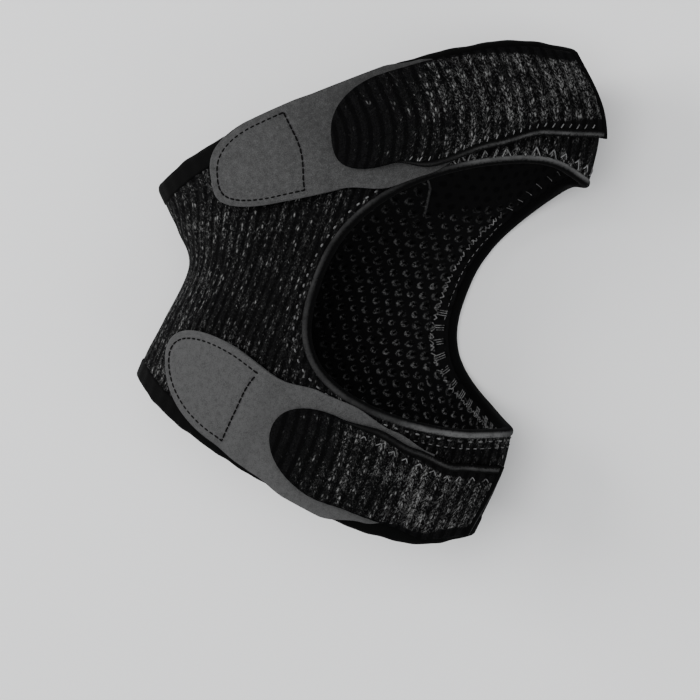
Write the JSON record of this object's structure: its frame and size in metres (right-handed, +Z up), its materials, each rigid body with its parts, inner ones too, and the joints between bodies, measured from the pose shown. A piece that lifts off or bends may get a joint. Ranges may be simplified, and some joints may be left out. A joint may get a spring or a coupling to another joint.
{
  "type": "patella strap",
  "caption": "Fastened knitted knee strap with a loop above and below an open kneecap, mesh lined, closed by suede tabs",
  "frame": {"origin": "centre of the lying object's footprint, on the table", "axes": "+Z up off the table, +Y up the leg from the calf loop to the thigh loop, +X out of the kneecap opening"},
  "size_m": [0.188, 0.187, 0.0667],
  "materials": {
    "ribbed_knit": "matte ribbed loop knit with grey specks",
    "mesh": "soft honeycomb mesh",
    "binding_tape": "smooth rolled elastic tape",
    "rim_tape": "smooth folded tape",
    "suede": "matte microfibre suede with black stitches",
    "hook_tape": "fine plastic hooks"
  },
  "bodies": {
    "root": {"knit_shell": "ribbed_knit", "mesh_lining": "mesh", "opening_binding": "binding_tape", "thigh_rim": "rim_tape", "calf_rim": "rim_tape", "upper_strap": "ribbed_knit", "upper_strap_binding": "binding_tape", "upper_end_tape": "binding_tape", "upper_tab": "suede", "upper_hook_patch": "hook_tape", "lower_strap": "ribbed_knit", "lower_strap_binding": "binding_tape", "lower_end_tape": "binding_tape", "lower_tab": "suede", "lower_hook_patch": "hook_tape"}
  },
  "joints": []
}
